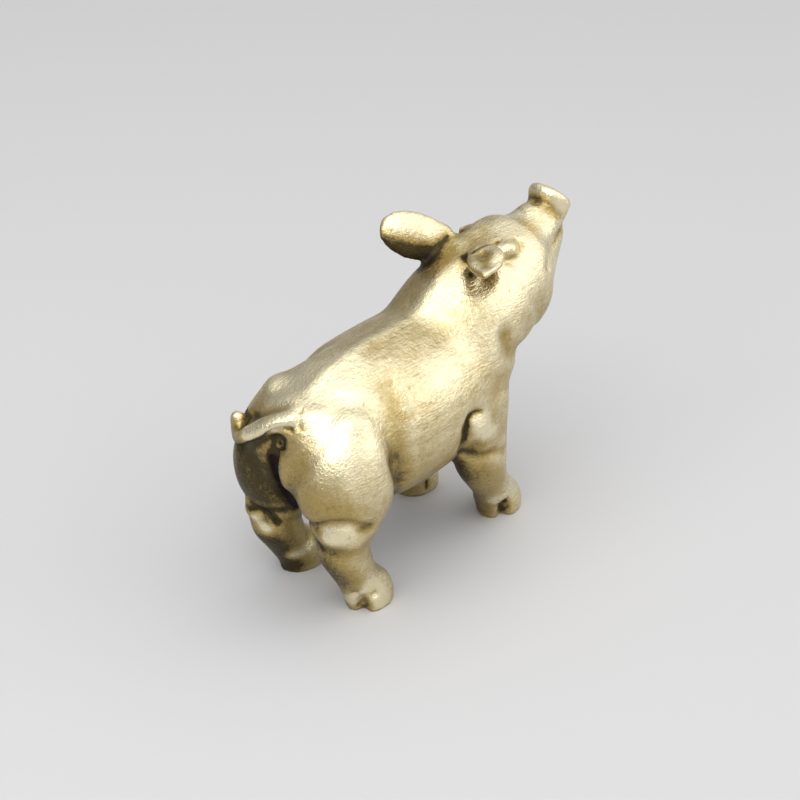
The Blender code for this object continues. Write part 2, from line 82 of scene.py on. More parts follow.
class CastingSettings(bpy.types.PropertyGroup):
    skin_step: FloatProperty(
        name="Skin step",
        description="Side of the squares of the casting's skin",
        default=0.2 * MM,
        unit="LENGTH",
    )
    smoothing: IntProperty(
        name="Smoothing",
        description="Rounds that take the facets of the packed part away",
        default=60,
    )
    mark_depth: FloatProperty(
        name="Mark depth",
        description="Share of the full depth that creases and pits are pressed to",
        default=1.0,
        subtype="FACTOR",
    )
    # The brass colour also gives the painted highlights, where rubbed places and faces turned to the lit side
    # are painted bright.
    brass: FloatVectorProperty(
        name="Brass",
        description="Colour of the rubbed metal",
        default=(0.86, 0.77, 0.52),
        subtype="COLOR",
    )
    # Warm brass is also the painted half shade between the painted highlights and the painted shade.
    warm_brass: FloatVectorProperty(
        name="Warm brass",
        description="Colour of the metal where a thin tarnish warms it",
        default=(0.45, 0.335, 0.125),
        subtype="COLOR",
    )
    # Besides patina in hollows, this colour is painted shade on the far side, underneath, in sheltered places
    # and at the listed dull places.
    tarnish_and_shade: FloatVectorProperty(
        name="Tarnish",
        description="Colour of the metal in hollows that no hand rubs",
        default=(0.075, 0.058, 0.026),
        subtype="COLOR",
    )
    # Besides dark patina in the deepest creases, this colour is painted shadow under the tail, behind the ear
    # and on the lower left ear.
    grime_and_shadow: FloatVectorProperty(
        name="Grime",
        description="Colour at the bottom of the deepest creases",
        default=(0.030, 0.020, 0.022),
        subtype="COLOR",
    )


class StageSettings(bpy.types.PropertyGroup):
    floor: FloatVectorProperty(
        name="Floor",
        description="Colour of the floor",
        default=(0.56, 0.56, 0.57),
        subtype="COLOR",
    )
    room: FloatProperty(
        name="Room",
        description="Brightness of the lit side of the room",
        default=1.0,
    )
    camera_azimuth: FloatProperty(
        name="Camera azimuth",
        description="Way round the pig that the camera stands, from its front towards its left",
        default=math.radians(223.5),
        subtype="ANGLE",
    )
    camera_elevation: FloatProperty(
        name="Camera elevation",
        description="Height of the camera above the level of the pig",
        default=math.radians(31),
        subtype="ANGLE",
    )
    camera_distance: FloatProperty(
        name="Camera distance",
        description="Distance from the camera to the point it looks at",
        default=200 * MM,
        unit="LENGTH",
    )
    lens: FloatProperty(
        name="Lens",
        description="Focal length in millimetres",
        default=85.0,
    )
    aim: FloatVectorProperty(
        name="Aim",
        description="Point that the camera looks at",
        default=(0.99 * MM, 2.26 * MM, 17.0 * MM),
        subtype="TRANSLATION",
    )


def toward(azimuth, elevation):
    """Unit vector from the pig to a place round it.

    Azimuth 0 is before the pig's face, and 90 degrees is at its left.
    """
    level = math.cos(elevation)
    return Vector((math.sin(azimuth) * level, -math.cos(azimuth) * level, math.sin(elevation)))


class Eye:
    """The camera as numbers, so that a mark can be placed by where it shows in the photograph."""

    PHOTO_SIDE = 800
    SENSOR = 36.0

    def __init__(self, stage):
        out = toward(stage.camera_azimuth, stage.camera_elevation)
        self.place = Vector(stage.aim) + out * stage.camera_distance
        self.ahead = -out
        self.right = self.ahead.cross(Vector((0, 0, 1))).normalized()
        self.up = self.right.cross(self.ahead)
        self.reach = stage.lens / self.SENSOR * self.PHOTO_SIDE

    def ray(self, column, row):
        """Direction in which the camera sees a pixel of the 800 by 800 photograph."""
        across = (column - self.PHOTO_SIDE / 2) / self.reach
        down = (row - self.PHOTO_SIDE / 2) / self.reach
        return (self.ahead + self.right * across - self.up * down).normalized()

    def turn(self):
        return Matrix((self.right, self.up, -self.ahead)).transposed().to_4x4()


# In these tables a pixel is a column and a row of the photograph, and widths are in millimetres.
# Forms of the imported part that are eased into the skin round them: width, share of the way to the mean
# skin, whether the other side is eased too, and pixels.
EASED = {
    "right eye": (1.2, 0.85, False, ((508, 248),)),
    "crown": (0.9, 0.95, False, ((462, 231), (467, 227))),
    "belly crease": (1.3, 0.85, True, ((386, 370), (389, 385), (391, 410), (393, 435))),
    "throat": (1.3, 0.90, False, ((503, 334), (506, 340), (508, 348))),
    "tail root": (0.7, 0.85, False, ((301, 427), (297, 428))),
    "pit under tail": (0.7, 0.85, False, ((274, 456),)),
    "mouth": (0.8, 0.80, True, ((558, 234), (552, 246), (548, 262))),
    "hock crease": (0.9, 0.85, False, ((322, 531), (332, 525), (344, 523), (356, 527))),
    "hind cleft": (0.8, 0.80, False, ((362, 602),)),
    "fore cleft": (0.6, 0.70, False, ((505, 505),)),
    "behind the elbow": (0.9, 0.60, True, ((464, 432), (458, 444))),
}
# The right ear's end, which is a shield: the pixel at its middle, its radius in millimetres, how much it
# narrows at its point, how much its top slants up to the right, and how far its top corner is drawn out.
EAR_SHIELD = ((484, 262), 2.0, 0.85, 0.40, 0.95)
# Marks that the photograph shows: width, depth in millimetres (a minus sign presses in), how dark the mark is
# painted (patina in creases and pits, and in some marks painted shade), the shift in millimetres of its
# twin on the pig's other side (None where it has no twin), and the pixels of the line that it follows.
SEEN_MARKS = {
    "elbow crease": (
        0.32, -0.26, 0.80, None,
        ((481, 413), (474, 413), (469, 420), (466, 430), (463, 440)),
    ),
    "elbow fold": (0.60, -0.10, 0.10, (1.5, 1.6, 0.0), ((461, 452), (478, 455), (493, 451))),
    "hock crease": (
        0.55, -0.08, 0.10, None,
        ((318, 533), (326, 527), (338, 524), (352, 524), (360, 530)),
    ),
    "hock nick": (0.34, -0.18, 0.60, None, ((319, 543), (322, 548))),
    "hock cap": (0.95, 0.22, 0.00, None, ((334, 538), (346, 536))),
    "heel pit": (0.36, -0.32, 0.90, (0.0, 0.0, 0.0), ((355, 594),)),
    "side pit": (0.36, -0.32, 0.90, (0.0, 0.0, 0.0), ((375, 594),)),
    "hind cleft": (0.20, -0.14, 0.45, (0.0, 0.0, 0.0), ((362, 601), (361, 610))),
    "fore cleft": (0.20, -0.10, 0.45, (2.6, 3.2, 0.0), ((505, 501), (505, 514))),
    "left fore cleft": (0.24, -0.26, 0.60, None, ((427, 482), (427, 489))),
    # The crease under the tail is pressed in, and its darkness is painted shadow under the tail band.
    "crease under tail": (
        0.38, -0.30, 0.95, None,
        ((290, 429), (281, 428), (271, 431), (262, 438), (250, 443), (240, 446)),
    ),
    "crease by tail tip": (0.32, -0.26, 0.75, None, ((246, 410), (247, 418), (242, 427))),
    "crease round tail root": (0.34, -0.16, 0.40, None, ((300, 411), (298, 420), (300, 428))),
    "ring under tail": (
        0.24, -0.14, 0.70, None,
        ((279, 436), (284, 440), (284, 447), (279, 451), (274, 447), (274, 440), (279, 436)),
    ),
    "dimple under tail": (0.30, -0.20, 0.90, None, ((279, 443),)),
    # The groove is painted nearly black: patina in it, and painted shade between the hams.
    "groove between hams": (
        0.60, -0.14, 1.25, None,
        ((273, 458), (275, 470), (282, 485), (289, 497), (297, 506)),
    ),
    "throat fold": (0.60, -0.08, 0.15, (0.0, 0.0, 0.0), ((504, 336), (508, 350))),
    "eye": (0.75, 0.28, 0.00, None, ((508, 247),)),
    # The lid is pressed in, and its darkness is painted shadow below the eye.
    "lid": (0.34, -0.14, 0.25, (0.0, 0.0, 0.0), ((502, 261), (508, 261), (514, 257))),
    "eye fold": (0.34, -0.10, 0.10, (0.0, 0.0, 0.0), ((514, 239), (520, 243), (522, 250))),
    "mouth": (
        0.34, -0.08, 0.25, (0.0, 0.0, 0.0),
        ((560, 230), (555, 241), (550, 251), (547, 260), (547, 268)),
    ),
    # Painted shade under the snout's rim; it presses nothing in.
    "painted shade behind the snout rim": (0.90, 0.00, 0.35, None, ((541, 200), (549, 207))),
    "wrinkle of bridge": (0.28, -0.10, 0.20, None, ((515, 203), (519, 208), (522, 215))),
    "ear hollow": (0.80, -0.25, 0.10, None, ((482, 254), (486, 264))),
    "ear crease": (0.28, -0.16, 0.75, None, ((472, 252), (479, 247), (488, 244), (497, 242))),
    # The gap is pressed in, and its darkness is painted shadow between the ear and the neck.
    "gap behind ear": (0.50, -0.20, 0.90, None, ((464, 256), (466, 266), (471, 274))),
    "left ear back": (1.50, 0.40, 0.00, None, ((402, 230), (417, 235))),
    # Painted shade and painted dark reflection on the lower left ear; it presses nothing in.
    "painted shade on the left ear": (1.15, 0.00, 0.90, None, ((388, 240), (398, 250), (412, 255), (426, 255))),
    "left ear root": (0.50, -0.20, 0.65, None, ((428, 259), (437, 247), (447, 236))),
    "belly crease": (
        0.95, -0.05, 0.00, (0.0, 0.0, 0.0),
        ((386, 372), (390, 400), (391, 430), (394, 462), (396, 490)),
    ),
    "left hock crease": (0.42, -0.26, 0.80, None, ((249, 510), (258, 507), (268, 512), (277, 523))),
    "left hock nick": (0.30, -0.16, 0.50, None, ((264, 514), (266, 524))),
    "left hock knob": (0.55, 0.22, 0.00, None, ((259, 519),)),
    "tail band": (0.55, 0.15, 0.00, None, ((290, 420), (276, 425), (262, 431), (248, 437))),
}
# Places painted bright, partly for rubbing by hands and partly as painted highlights, with painted light
# against the shade below the ear and in the hind cleft: width, how bright, and pixels.
RUBBED_AND_HIGHLIGHTED = {
    "ham": (3.4, 1.25, ((330, 410), (345, 440))),
    "rump": (2.6, 1.50, ((292, 388), (330, 372))),
    "shoulder": (2.6, 1.05, ((440, 375), (465, 350))),
    "neck": (2.2, 1.00, ((425, 310), (450, 290))),
    "right ear": (2.5, 0.36, ((484, 262),)),
    "below the ear": (1.7, 1.10, ((480, 287), (490, 286), (500, 280))),
    "above the hock": (0.7, 0.40, ((322, 530), (334, 525), (346, 524), (356, 527))),
    "hind cleft": (0.6, 0.40, ((362, 603),)),
    "ring under tail": (0.5, 0.50, ((279, 443),)),
    "cheek": (2.6, 1.25, ((505, 290), (530, 270), (545, 240))),
    "bridge": (1.4, 1.25, ((522, 212), (505, 225))),
    "snout": (1.0, 1.05, ((536, 184), (552, 196), (565, 206))),
    "left ear": (1.6, 1.15, ((395, 224), (412, 220), (430, 228))),
    "right ear edge": (0.6, 1.10, ((500, 246), (499, 258), (492, 274))),
    "elbow": (1.1, 1.30, ((482, 420), (486, 432))),
    "hock cap": (1.0, 1.50, ((330, 536), (346, 534))),
    "tail": (0.7, 1.60, ((293, 420), (280, 424), (262, 431), (246, 436))),
    "tail tip": (0.6, 1.10, ((239, 414),)),
    "hind toes": (0.9, 1.50, ((348, 600), (372, 585), (382, 600))),
    "fore toes": (1.0, 1.30, ((495, 500), (512, 490))),
    "left hock": (0.8, 1.10, ((256, 518), (266, 528))),
    "left hind toes": (0.9, 0.90, ((293, 555), (308, 548))),
}
# Places painted duller as painted shade and painted dark reflection: width, how much duller, and pixels.
PAINTED_SHADE_PLACES = {
    "left ham": (3.2, 0.60, ((244, 468), (256, 492))),
    "left shank": (2.2, 0.80, ((270, 545), (290, 562))),
    "right shank": (1.8, 0.40, ((328, 566), (345, 582))),
    "foot of the ham": (1.8, 0.20, ((322, 508), (345, 514))),
    "belly": (2.0, 0.35, ((440, 486), (462, 472))),
    "foreleg": (1.6, 0.30, ((488, 470), (498, 484))),
    "lower ear": (1.0, 0.50, ((402, 252), (420, 256))),
    "top of the right ear's face": (0.8, 0.45, ((480, 255), (488, 254))),
    "far side of the back": (
        2.0, 0.25,
        ((255, 378), (300, 345), (350, 322), (400, 282), (430, 250)),
    ),
}
# The ways that painted light comes from, as the ways that faces turn to: the lit side, and the pig's left as
# a weaker fill.
PAINTED_LIGHT_SIDE = (math.radians(280), math.radians(42))
PAINTED_FILL_SIDE = (math.radians(90), math.radians(25))
# Marks that the photograph doesn't show: width, depth, darkness, and places on the pig in millimetres.
HIDDEN_MARKS = {
    "left eye": (0.90, -0.45, 0.00, ((3.6, -9.7, 32.1),)),
    "right nostril": (0.50, -0.20, 0.95, ((-0.95, -20.7, 33.6),)),
    "left nostril": (0.50, -0.20, 0.95, ((1.1, -20.7, 33.6),)),
    "breast": (1.20, -0.10, 0.10, ((0.1, -9.5, 15.0), (0.1, -8.0, 11.0))),
}


# Shares of the way to the neighbours' mean: in, and then a little more out again, so that nothing shrinks.
IN_AND_OUT = (0.55, -0.57)
# How much wider than the press itself the darkening of a mark spreads, as patina and as painted shade.
PATINA_AND_SHADE_SPREAD = 1.25
# How far past the ear's radius its end is still held, and how sharply that stops.
SHIELD_REACH = 1.15
SHIELD_EDGE = 6


class Skin:
    """A closed mesh as arrays: its points, the points at its edges' ends, and how dark marks made each."""

    def __init__(self, mesh):
        self.mesh = mesh
        count = len(mesh.vertices)
        self.points = np.empty(count * 3)
        mesh.vertices.foreach_get("co", self.points)
        self.points = self.points.reshape(-1, 3)
        ends = np.empty(len(mesh.edges) * 2, np.int32)
        mesh.edges.foreach_get("vertices", ends)
        self.ends = ends.reshape(-1, 2)
        self.degree = np.bincount(ends, minlength=count)[:, None]
        self.dark = np.zeros(count)

    def write(self):
        self.mesh.vertices.foreach_set("co", self.points.ravel())
        self.mesh.update()

    def normals(self):
        self.write()
        flat = np.empty(self.points.size)
        self.mesh.vertex_normals.foreach_get("vector", flat)
        return flat.reshape(-1, 3)

    def averaged(self, values):
        """Each point's mean over its neighbours."""
        total = np.zeros_like(values)
        for a, b in ((0, 1), (1, 0)):
            for axis in range(values.shape[1]):
                gathered = values[self.ends[:, b], axis]
                total[:, axis] += np.bincount(self.ends[:, a], gathered, len(values))
        return total / self.degree

    def take_facets_away(self, rounds):
        """Smooths in and out by turns, which rounds the facets off and keeps the volume."""
        for _ in range(rounds):
            for share in IN_AND_OUT:
                self.points += share * (self.averaged(self.points) - self.points)

    def mean_skin(self, rounds):
        """The points after that many rounds of moving each to its neighbours' mean."""
        mean = self.points
        for _ in range(rounds):
            mean = self.averaged(mean)
        return mean

    def hollowness(self, rounds):
        """How far the neighbourhood stands proud of each point, in metres; below zero on a ridge."""
        return ((self.mean_skin(rounds) - self.points) * self.normals()).sum(1)

    def near(self, path):
        """Distance from each point to a line of places."""
        best = np.full(len(self.points), np.inf)
        for stop in path:
            best = np.minimum(best, ((self.points - np.array(stop)) ** 2).sum(1))
        return np.sqrt(best)

    def ease(self, mean, path, width, share):
        """Takes the skin near a line that share of the way to the mean skin."""
        weight = share * np.exp(-((self.near(path) / width) ** 2))
        self.points += weight[:, None] * (mean - self.points)

    def make_shield(self, eye, centre, radius, narrow, slant, corner):
        """Draws a round end into a shield: pointed below, slanted above, with a corner at the right."""
        off = self.points - np.array(centre)
        across = off @ np.array(eye.right)
        up = off @ np.array(eye.up)
        behind = np.clip(off @ np.array(eye.ahead), 0, None)
        aside = np.sqrt(across**2 + up**2) / (SHIELD_REACH * radius)
        hold = np.exp(-(aside**SHIELD_EDGE) - (behind / radius) ** 2)
        top = np.clip(up, 0, None) / radius
        point = np.clip(-up, 0, None) / radius
        drawn = corner * top * np.clip(across, 0, None)
        sideways = hold * (drawn - narrow * point * across)
        upward = hold * (drawn + slant * top * across)
        self.points += sideways[:, None] * np.array(eye.right) + upward[:, None] * np.array(eye.up)

    def tree(self):
        """The skin as a tree that rays can be cast at."""
        self.write()
        work = bmesh.new()
        work.from_mesh(self.mesh)
        tree = BVHTree.FromBMesh(work)
        work.free()
        return tree

    def press(self, path, width, depth, dark):
        """Presses a line in (or out, where depth is more than 0) and darkens it."""
        weight = np.exp(-((self.near(path) / width) ** 2))
        self.points += depth * weight[:, None] * self.normals()
        reach = PATINA_AND_SHADE_SPREAD * width
        self.dark = np.maximum(self.dark, dark * np.exp(-((self.near(path) / reach) ** 2)))


STEP_ALONG_MARK = 0.15 * MM


def walked(stops):
    """A line of places with more places along it."""
    path = [stops[0]]
    for start, end in zip(stops, stops[1:]):
        steps = max(1, math.ceil((end - start).length / STEP_ALONG_MARK))
        path.extend(start.lerp(end, (i + 1) / steps) for i in range(steps))
    return path


def mirrored(place):
    """The same place on the pig's other side."""
    return Vector((-place.x, place.y, place.z))


def seen_places(tree, eye, pixels):
    """Places on the skin that the camera sees at these pixels; a pixel off the pig takes the nearest."""
    ways = [eye.ray(column, row) for column, row in pixels]
    hits = [tree.ray_cast(eye.place, way) for way in ways]
    reaches = [(i, hit[3]) for i, hit in enumerate(hits) if hit[0] is not None]
    places = []
    for i, (way, hit) in enumerate(zip(ways, hits)):
        if hit[0] is not None:
            places.append(hit[0])
            continue
        reach = min(reaches, key=lambda pair: abs(pair[0] - i))[1]
        places.append(tree.find_nearest(eye.place + way * reach)[0])
    return places


def all_marks(tree, eye):
    """Each mark as width, depth, darkness (patina, and painted shade in some) and its line on the skin; twins
    are mirrored and shifted.
    """
    marks = []
    for width, depth, dark, twin, pixels in SEEN_MARKS.values():
        places = seen_places(tree, eye, pixels)
        marks.append((width, depth, dark, places))
        if twin is not None:
            shifted = [mirrored(place) + Vector(twin) * MM for place in places]
            marks.append((width, depth, dark, [tree.find_nearest(p)[0] for p in shifted]))
    for width, depth, dark, spots in HIDDEN_MARKS.values():
        places = [tree.find_nearest(Vector(spot) * MM)[0] for spot in spots]
        marks.append((width, depth, dark, places))
    return marks


ROUNDS_OF_EASED_SKIN = 40


def shape_forms(skin, eye):
    """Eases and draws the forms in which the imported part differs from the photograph."""
    tree = skin.tree()
    mean = skin.mean_skin(ROUNDS_OF_EASED_SKIN)
    for width, share, both, pixels in EASED.values():
        path = walked(seen_places(tree, eye, pixels))
        skin.ease(mean, path, width * MM, share)
        if both:
            twins = [tree.find_nearest(mirrored(place))[0] for place in path]
            skin.ease(mean, twins, width * MM, share)
    pixel, radius, narrow, slant, corner = EAR_SHIELD
    centre = seen_places(skin.tree(), eye, (pixel,))[0]
    skin.make_shield(eye, centre, radius * MM, narrow, slant, corner)


def patches(table, skin, tree, eye):
    """The strength of each of a table's places, and how near each point is to it, from 0 to 1."""
    for width, strength, pixels in table.values():
        path = walked(seen_places(tree, eye, pixels))
        yield strength, np.exp(-((skin.near(path) / (width * MM)) ** 2))


def merged(node):
    """The node's mesh with its doubled points made one."""
    work = bmesh.new()
    work.from_mesh(node.data)
    bmesh.ops.remove_doubles(work, verts=work.verts, dist=TOUCHING)
    return work


def finer_copy(node, step):
    """A mesh of the node's outside in even squares of that side."""
    work = merged(node)
    mesh = bpy.data.meshes.new("casting")
    work.to_mesh(mesh)
    work.free()
    piece = bpy.data.objects.new("casting", mesh)
    bpy.context.scene.collection.objects.link(piece)
    even = piece.modifiers.new("even squares", "REMESH")
    even.mode = "VOXEL"
    even.voxel_size = step
    graph = bpy.context.evaluated_depsgraph_get()
    fine = bpy.data.meshes.new_from_object(piece.evaluated_get(graph))
    piece.modifiers.clear()
    piece.data = fine
    return piece


SKY_RAYS = 40
GOLDEN_TURN = 2.39996
LOWEST_RAY = 0.05
SPREAD_OF_RAYS = 0.9
SKY_REACH = 12 * MM
CLEAR_OF_SKIN = 0.05 * MM
CORNERS_ASKED = 3


def shelter(node, places):
    """How much of the sky above each place the pig itself hides, from 0 in the open to 1 in a hole."""
    work = merged(node)
    work.normal_update()
    tree = BVHTree.FromBMesh(work)
    rays = [
        toward(i * GOLDEN_TURN, math.asin(LOWEST_RAY + SPREAD_OF_RAYS * (i + 0.5) / SKY_RAYS))
        for i in range(SKY_RAYS)
    ]
    finder = KDTree(len(work.verts))
    hidden = []
    for i, vert in enumerate(work.verts):
        finder.insert(vert.co, i)
        turn = Vector((0, 0, 1)).rotation_difference(vert.normal)
        start = vert.co + vert.normal * CLEAR_OF_SKIN
        blocked = sum(tree.ray_cast(start, turn @ ray, SKY_REACH)[0] is not None for ray in rays)
        hidden.append(blocked / len(rays))
    finder.balance()
    work.free()
    shares = np.empty(len(places))
    for i, place in enumerate(places):
        near = finder.find_n(place, CORNERS_ASKED)
        weights = [1 / (gap + CLEAR_OF_SKIN) for _, _, gap in near]
        shares[i] = sum(w * hidden[k] for w, (_, k, _) in zip(weights, near)) / sum(weights)
    return shares


# Points of the fine skin below this height belong to the soles.
SOLE_HEIGHT = 0.04 * MM
# Hollows are looked for at three sizes: rounds of averaging, the depth in millimetres that counts in full,
# and the share that the size has.
HOLLOW_SIZES = ((3, 0.010, 0.45), (14, 0.045, 0.35), (50, 0.14, 0.20))
# How far the metal is rubbed anywhere, the painted light that faces turned to the lit side and to the pig's
# left gain, and what hollows take away as patina and shelter as patina and painted shade.
WEAR_ANYWHERE = 0.28
LIGHT_PAINTED_FROM_LIT_SIDE = 0.46
FILL_PAINTED_FROM_LEFT = 0.28
LOST_IN_HOLLOWS = 0.18
DULLED_AND_SHADED_IN_SHELTER = 0.7


def rubbed_and_painted_light(skin, hollow, hidden, tree, eye):
    """How far each point is rubbed or painted bright: about 1 where bright, and 0 or less where dull with
    patina and painted shade.
    """
    normals = skin.normals()
    facing = normals @ np.array(toward(*PAINTED_LIGHT_SIDE))
    fill_facing = np.clip(normals @ np.array(toward(*PAINTED_FILL_SIDE)), 0, None)
    # Faces turned to the lit side, and more weakly to the pig's left, are painted lighter; shelter darkens as
    # patina and painted shade.
    rubbed_and_lit = WEAR_ANYWHERE + LIGHT_PAINTED_FROM_LIT_SIDE * facing + FILL_PAINTED_FROM_LEFT * fill_facing
    wear = rubbed_and_lit - LOST_IN_HOLLOWS * hollow - DULLED_AND_SHADED_IN_SHELTER * hidden
    # Painted shade and painted dark reflection at the listed dull places.
    for strength, near in patches(PAINTED_SHADE_PLACES, skin, tree, eye):
        wear -= strength * near
    # Rubbing and painted highlights at the listed bright places.
    for strength, near in patches(RUBBED_AND_HIGHLIGHTED, skin, tree, eye):
        wear = np.maximum(wear, strength * near + (1 - near) * wear)
    return wear


class MakeCasting(bpy.types.Operator):
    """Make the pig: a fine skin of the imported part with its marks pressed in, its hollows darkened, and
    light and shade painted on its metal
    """

    bl_idname = "tea_pet.make_casting"
    bl_label = "Casting"

    def execute(self, context):
        settings = context.scene.tea_pet_casting
        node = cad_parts["pig"]
        piece = finer_copy(node, settings.skin_step)
        skin = Skin(piece.data)
        skin.take_facets_away(settings.smoothing)
        soles = skin.points[:, 2] < SOLE_HEIGHT
        eye = Eye(context.scene.tea_pet_stage)
        shape_forms(skin, eye)
        tree = skin.tree()
        for width, depth, dark, places in all_marks(tree, eye):
            skin.press(walked(places), width * MM, depth * MM * settings.mark_depth, dark)
        hollow = sum(
            share * np.clip(skin.hollowness(rounds) / (depth * MM), -1, 2)
            for rounds, depth, share in HOLLOW_SIZES
        )
        hidden = shelter(node, [Vector(p) for p in skin.points])
        wear = rubbed_and_painted_light(skin, hollow, hidden, tree, eye)
        skin.points[soles, 2] = 0
        low, high = np.array(CAD_BOX[0]), np.array(CAD_BOX[1])
        skin.points = np.clip(skin.points, low, high)
        skin.write()
        # The marks value holds patina and painted shade; the rubbed value holds rubbing, painted highlights
        # and painted shade.
        for name, values in (("marks", skin.dark), ("hollows", hollow), ("wear", wear)):
            layer = skin.mesh.attributes.new(name, "FLOAT", "POINT")
            layer.data.foreach_set("value", values.astype(np.float32))
        skin.mesh.shade_smooth()
        skin.mesh.materials.clear()
        skin.mesh.materials.append(aged_brass_with_painted_light(settings))
        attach(piece, "root")
        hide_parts("pig")
        return {"FINISHED"}


class Value:
    """A socket that takes part in arithmetic: each operation adds its Math node."""

    def __init__(self, recipe, socket):
        self.recipe = recipe
        self.socket = socket

    def maths(self, operation, *values):
        node = self.recipe.node("ShaderNodeMath", {"operation": operation}, dict(enumerate(values)))
        return Value(self.recipe, node.outputs[0])

    def __add__(self, other):
        return self.maths("ADD", self, other)

    def __sub__(self, other):
        return self.maths("SUBTRACT", self, other)

    def __rsub__(self, other):
        return self.maths("SUBTRACT", other, self)

    def __mul__(self, other):
        return self.maths("MULTIPLY", self, other)

    __radd__ = __add__
    __rmul__ = __mul__

    def between(self, low, high):
        """0 where the value is low or less, 1 where it is high or more, and eased in between."""
        settings = {"interpolation_type": "SMOOTHSTEP"}
        sockets = {"Value": self, "From Min": low, "From Max": high}
        node = self.recipe.node("ShaderNodeMapRange", settings, sockets)
        return Value(self.recipe, node.outputs["Result"])


class Recipe:
    """The nodes of one material or world, written as expressions."""

    def __init__(self, owner):
        owner.use_nodes = True
        self.tree = owner.node_tree
        self.tree.nodes.clear()

    def node(self, kind, settings, sockets):
        made = self.tree.nodes.new(kind)
        for name, value in settings.items():
            if name == "stops":
                self.set_stops(made, value)
            else:
                setattr(made, name, value)
        for name, value in sockets.items():
            self.feed(made.inputs[name], value)
        return made

    def set_stops(self, ramp, stops):
        points = ramp.color_ramp.elements
        while len(points) < len(stops):
            points.new(0.5)
        for point, (place, shade) in zip(points, stops):
            point.position = place
            point.color = shade

    def feed(self, socket, value):
        if isinstance(value, Value):
            self.tree.links.new(value.socket, socket)
        elif isinstance(value, bpy.types.NodeSocket):
            self.tree.links.new(value, socket)
        else:
            socket.default_value = value

    def attribute(self, name):
        node = self.node("ShaderNodeAttribute", {"attribute_name": name}, {})
        return Value(self, node.outputs["Fac"])

    def noise(self, where, scale, detail=2.0, roughness=0.5):
        """Soft noise; where is a vector socket in metres, and scale the number of waves a metre."""
        sockets = {"Vector": where, "Scale": scale, "Detail": detail, "Roughness": roughness}
        node = self.node("ShaderNodeTexNoise", {}, sockets)
        return Value(self, node.outputs["Fac"])

    def mix(self, share, first, second):
        """A colour that goes from first to second as share goes from 0 to 1."""
        node = self.node("ShaderNodeMix", {"data_type": "RGBA"}, {0: share, 6: first, 7: second})
        return node.outputs[2]

    def turned(self, where, angles, stretch):
        """A vector in metres turned by angles and squeezed along each axis by stretch."""
        node = self.node("ShaderNodeMapping", {}, {"Vector": where, "Rotation": angles, "Scale": stretch})
        return node.outputs["Vector"]


def opaque(colour):
    return (*colour, 1.0)


HAIR_LAYS = (
    # turn of the strokes in degrees, waves a metre across them, and how wide a patch keeps this lay
    ((0, 20, 74), 5200, 260),
    ((35, -10, 30), 4300, 330),
    ((80, 30, -40), 5600, 290),
)
HAIR_SQUEEZE = (1.0, 0.10, 1.0)


def hair_strokes(recipe, where):
    """Fine scratches like brushed hair: lines of one lay, then of another, patch by patch."""
    total = 0.0
    for i, (angles, waves, patch) in enumerate(HAIR_LAYS):
        lay = recipe.turned(where, [math.radians(a) for a in angles], HAIR_SQUEEZE)
        lines = recipe.noise(lay, waves, 2.0, 0.6).between(0.42, 0.72)
        shifted = recipe.turned(where, (0.0, 0.0, 0.9 * i), (1.0, 1.0, 1.0))
        here = recipe.noise(shifted, patch, 1.0).between(0.40, 0.58)
        total = total + lines * here
    return total


# Waves a metre of the noises that make the metal uneven.
BROAD_WAVES = 120
PATCH_WAVES = 520
SPECK_WAVES = 1700
RELIEF_WAVES = 1900
GRAIN_WAVES = 3200
CAST_RELIEF = 0.16 * MM
BRUSHED_RELIEF = 0.02 * MM


